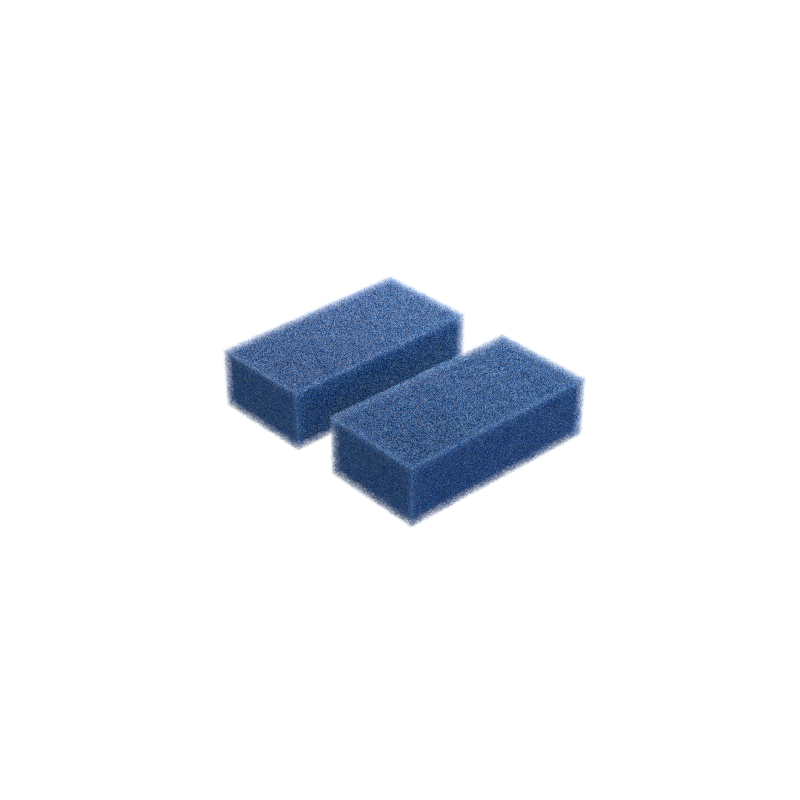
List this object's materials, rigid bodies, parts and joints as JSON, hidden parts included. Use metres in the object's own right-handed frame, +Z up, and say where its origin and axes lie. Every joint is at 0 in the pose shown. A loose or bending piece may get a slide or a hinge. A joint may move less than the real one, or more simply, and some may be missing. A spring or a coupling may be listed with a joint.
{
  "type": "sponge filter",
  "caption": "Pair of loose rectangular filter sponges: coarse open-cell foam blocks, cut square and laid side by side on their large faces.",
  "frame": {"origin": "on the surface the blocks lie on, under the middle of the pair's box", "axes": "+Z up; +X along the rear block's length; +Y from the front block to the rear block"},
  "size_m": [0.2032, 0.2484, 0.058],
  "materials": {
    "blue_foam": "coarse open-cell polyurethane foam, knife-cut, matte"
  },
  "bodies": {
    "rear_block": {"rear_sponge": "blue_foam"},
    "front_block": {"front_sponge": "blue_foam"}
  },
  "joints": [
    {"name": "front_slide", "type": "slide", "parent": "rear_block", "child": "front_block", "axis": [0, 1, 0], "range_m": [0, 0.0438]}
  ]
}
